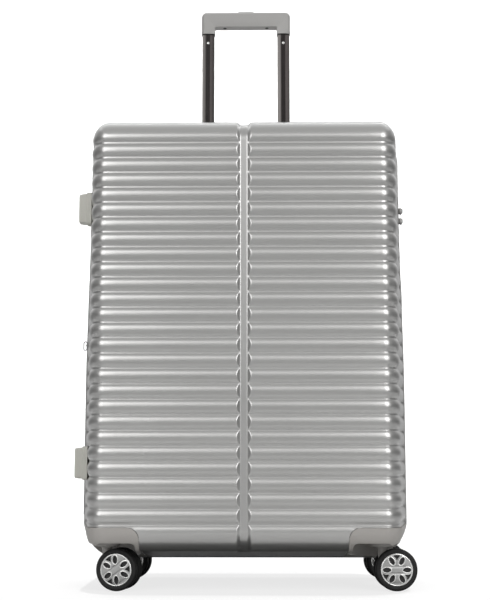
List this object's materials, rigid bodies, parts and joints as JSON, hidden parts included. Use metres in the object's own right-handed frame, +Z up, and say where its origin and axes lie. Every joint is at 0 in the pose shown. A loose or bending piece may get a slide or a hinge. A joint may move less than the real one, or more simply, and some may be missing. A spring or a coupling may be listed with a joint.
{
  "type": "hard shell suitcase",
  "caption": "Upright ribbed hard shell suitcase with a telescopic trolley handle, corner guards and swivelling twin-wheel casters, opening like a book on a zip.",
  "frame": {"origin": "middle of the bounding box, on the floor under the wheels", "axes": "+Z up, -Y out of the front face, -X towards the hinge side with the side feet"},
  "size_m": [0.5318, 0.3, 1.003],
  "materials": {
    "shell": "satin silver",
    "guard": "matte warm grey",
    "steel": "brushed",
    "hub": "satin silver",
    "tyre": "matte black",
    "tape": "woven black tape",
    "zip_metal": "dark plated",
    "tube": "gunmetal anodised",
    "outer_tube": "mill finish",
    "grip": "satin grey",
    "foot": "beige grey",
    "dial": "pale grey",
    "black_plastic": "black moulded"
  },
  "bodies": {
    "case": {"rear_shell": "shell", "corner_guard_rear_left": "guard", "corner_guard_rear_right": "guard", "rear_zipper_tape": "tape", "hinge_gusset": "tape", "outer_tube_left": "outer_tube", "outer_tube_right": "outer_tube", "trolley_bezel": "black_plastic", "tube_base_bracket": "black_plastic", "lock_body": "black_plastic", "side_foot_rear_upper": "foot", "side_foot_rear_lower": "foot"},
    "front_half": {"front_shell": "shell", "corner_guard_front_left": "guard", "corner_guard_front_right": "guard", "front_zipper_tape": "tape", "side_foot_front_upper": "foot", "side_foot_front_lower": "foot"},
    "trolley": {"trolley_grip": "grip", "inner_tube_left": "tube", "inner_tube_right": "tube"},
    "trolley_button": {"push_button": "grip", "release_rod_left": "steel", "release_rod_right": "steel"},
    "caster_front_left": {"caster_fork_front_left": "guard", "caster_axle_front_left": "steel"},
    "wheel_front_left_a": {"wheel_hub_front_left_a": "hub", "tyre_front_left_a": "tyre"},
    "wheel_front_left_b": {"wheel_hub_front_left_b": "hub", "tyre_front_left_b": "tyre"},
    "caster_front_right": {"caster_fork_front_right": "guard", "caster_axle_front_right": "steel"},
    "wheel_front_right_a": {"wheel_hub_front_right_a": "hub", "tyre_front_right_a": "tyre"},
    "wheel_front_right_b": {"wheel_hub_front_right_b": "hub", "tyre_front_right_b": "tyre"},
    "caster_rear_left": {"caster_fork_rear_left": "guard", "caster_axle_rear_left": "steel"},
    "wheel_rear_left_a": {"wheel_hub_rear_left_a": "hub", "tyre_rear_left_a": "tyre"},
    "wheel_rear_left_b": {"wheel_hub_rear_left_b": "hub", "tyre_rear_left_b": "tyre"},
    "caster_rear_right": {"caster_fork_rear_right": "guard", "caster_axle_rear_right": "steel"},
    "wheel_rear_right_a": {"wheel_hub_rear_right_a": "hub", "tyre_rear_right_a": "tyre"},
    "wheel_rear_right_b": {"wheel_hub_rear_right_b": "hub", "tyre_rear_right_b": "tyre"},
    "lock_dial_1_body": {"lock_dial_1": "dial"},
    "lock_dial_2_body": {"lock_dial_2": "dial"},
    "lock_dial_3_body": {"lock_dial_3": "dial"},
    "lock_release": {"lock_release_slide": "dial"},
    "lock_key": {"lock_key_cylinder": "steel"},
    "zip_slider_upper_body": {"zip_slider_upper": "zip_metal"},
    "zip_tab_upper": {"zip_pull_tab_upper": "zip_metal"},
    "zip_slider_lower_body": {"zip_slider_lower": "zip_metal"},
    "zip_tab_lower": {"zip_pull_tab_lower": "zip_metal"},
    "expander_slider": {"expander_zip_slider": "zip_metal"},
    "top_handle": {"top_carry_handle": "black_plastic"},
    "side_handle": {"side_carry_handle": "black_plastic"}
  },
  "joints": [
    {"name": "case_hinge", "type": "hinge", "parent": "case", "child": "front_half", "pos_m": [-0.26136, 0, 0.4], "axis": [0, 0, -1], "range_deg": [0, 165]},
    {"name": "trolley_slide", "type": "slide", "parent": "case", "child": "trolley", "axis": [0, 0, 1], "range_m": [-0.25, 0]},
    {"name": "trolley_button_press", "type": "slide", "parent": "trolley", "child": "trolley_button", "axis": [0, 0, -1], "range_m": [0, 0.003], "stiffness_N_per_m": 1200, "springref_m": -0.001},
    {"name": "caster_front_left_swivel", "type": "hinge", "parent": "front_half", "child": "caster_front_left", "pos_m": [-0.21136, -0.085, 0.07], "axis": [0, 0, 1], "continuous": true},
    {"name": "wheel_front_left_a_spin", "type": "hinge", "parent": "caster_front_left", "child": "wheel_front_left_a", "pos_m": [-0.19174, -0.08892, 0.032], "axis": [0.1959, 0.9806, 0], "continuous": true},
    {"name": "wheel_front_left_b_spin", "type": "hinge", "parent": "caster_front_left", "child": "wheel_front_left_b", "pos_m": [-0.19174, -0.08892, 0.032], "axis": [0.1959, 0.9806, 0], "continuous": true},
    {"name": "caster_front_right_swivel", "type": "hinge", "parent": "front_half", "child": "caster_front_right", "pos_m": [0.21264, -0.085, 0.07], "axis": [0, 0, 1], "continuous": true},
    {"name": "wheel_front_right_a_spin", "type": "hinge", "parent": "caster_front_right", "child": "wheel_front_right_a", "pos_m": [0.23262, -0.08406, 0.032], "axis": [-0.0471, 0.9989, 0], "continuous": true},
    {"name": "wheel_front_right_b_spin", "type": "hinge", "parent": "caster_front_right", "child": "wheel_front_right_b", "pos_m": [0.23262, -0.08406, 0.032], "axis": [-0.0471, 0.9989, 0], "continuous": true},
    {"name": "caster_rear_left_swivel", "type": "hinge", "parent": "case", "child": "caster_rear_left", "pos_m": [-0.21136, 0.085, 0.07], "axis": [0, 0, 1], "continuous": true},
    {"name": "wheel_rear_left_a_spin", "type": "hinge", "parent": "caster_rear_left", "child": "wheel_rear_left_a", "pos_m": [-0.19155, 0.08222, 0.032], "axis": [0.1392, 0.9903, 0], "continuous": true},
    {"name": "wheel_rear_left_b_spin", "type": "hinge", "parent": "caster_rear_left", "child": "wheel_rear_left_b", "pos_m": [-0.19155, 0.08222, 0.032], "axis": [0.1392, 0.9903, 0], "continuous": true},
    {"name": "caster_rear_right_swivel", "type": "hinge", "parent": "case", "child": "caster_rear_right", "pos_m": [0.21264, 0.085, 0.07], "axis": [0, 0, 1], "continuous": true},
    {"name": "wheel_rear_right_a_spin", "type": "hinge", "parent": "caster_rear_right", "child": "wheel_rear_right_a", "pos_m": [0.23257, 0.08674, 0.032], "axis": [-0.0872, 0.9962, 0], "continuous": true},
    {"name": "wheel_rear_right_b_spin", "type": "hinge", "parent": "caster_rear_right", "child": "wheel_rear_right_b", "pos_m": [0.23257, 0.08674, 0.032], "axis": [-0.0872, 0.9962, 0], "continuous": true},
    {"name": "lock_dial_1_turn", "type": "hinge", "parent": "case", "child": "lock_dial_1_body", "pos_m": [0.25364, 0.034, 0.631], "axis": [0, 0, 1], "continuous": true},
    {"name": "lock_dial_2_turn", "type": "hinge", "parent": "case", "child": "lock_dial_2_body", "pos_m": [0.25364, 0.034, 0.6215], "axis": [0, 0, 1], "continuous": true},
    {"name": "lock_dial_3_turn", "type": "hinge", "parent": "case", "child": "lock_dial_3_body", "pos_m": [0.25364, 0.034, 0.612], "axis": [0, 0, 1], "continuous": true},
    {"name": "lock_release_press", "type": "slide", "parent": "case", "child": "lock_release", "axis": [0, 0, 1], "range_m": [0, 0.005], "stiffness_N_per_m": 200, "springref_m": -0.001},
    {"name": "lock_key_turn", "type": "hinge", "parent": "case", "child": "lock_key", "pos_m": [0.25564, 0.034, 0.567], "axis": [1, 0, 0], "range_deg": [0, 90]},
    {"name": "zip_upper_run", "type": "slide", "parent": "case", "child": "zip_slider_upper_body", "axis": [0, 0, 1], "range_m": [0, 0.08]},
    {"name": "zip_tab_upper_swing", "type": "hinge", "parent": "zip_slider_upper_body", "child": "zip_tab_upper", "pos_m": [0.26284, 0.0048, 0.61], "axis": [0, 0, -1], "range_deg": [0, 120]},
    {"name": "zip_lower_run", "type": "slide", "parent": "case", "child": "zip_slider_lower_body", "axis": [0, 0, 1], "range_m": [-0.44, 0]},
    {"name": "zip_tab_lower_swing", "type": "hinge", "parent": "zip_slider_lower_body", "child": "zip_tab_lower", "pos_m": [0.26284, 0.0048, 0.593], "axis": [0, 0, -1], "range_deg": [0, 120]},
    {"name": "expander_slider_run", "type": "slide", "parent": "case", "child": "expander_slider", "axis": [0, 0, 1], "range_m": [-0.12, 0.16]},
    {"name": "top_handle_lift", "type": "slide", "parent": "case", "child": "top_handle", "axis": [0, 0, 1], "range_m": [0, 0.019], "stiffness_N_per_m": 150, "springref_m": -0.008},
    {"name": "side_handle_lift", "type": "slide", "parent": "case", "child": "side_handle", "axis": [1, 0, 0], "range_m": [0, 0.019], "stiffness_N_per_m": 150, "springref_m": -0.004}
  ]
}
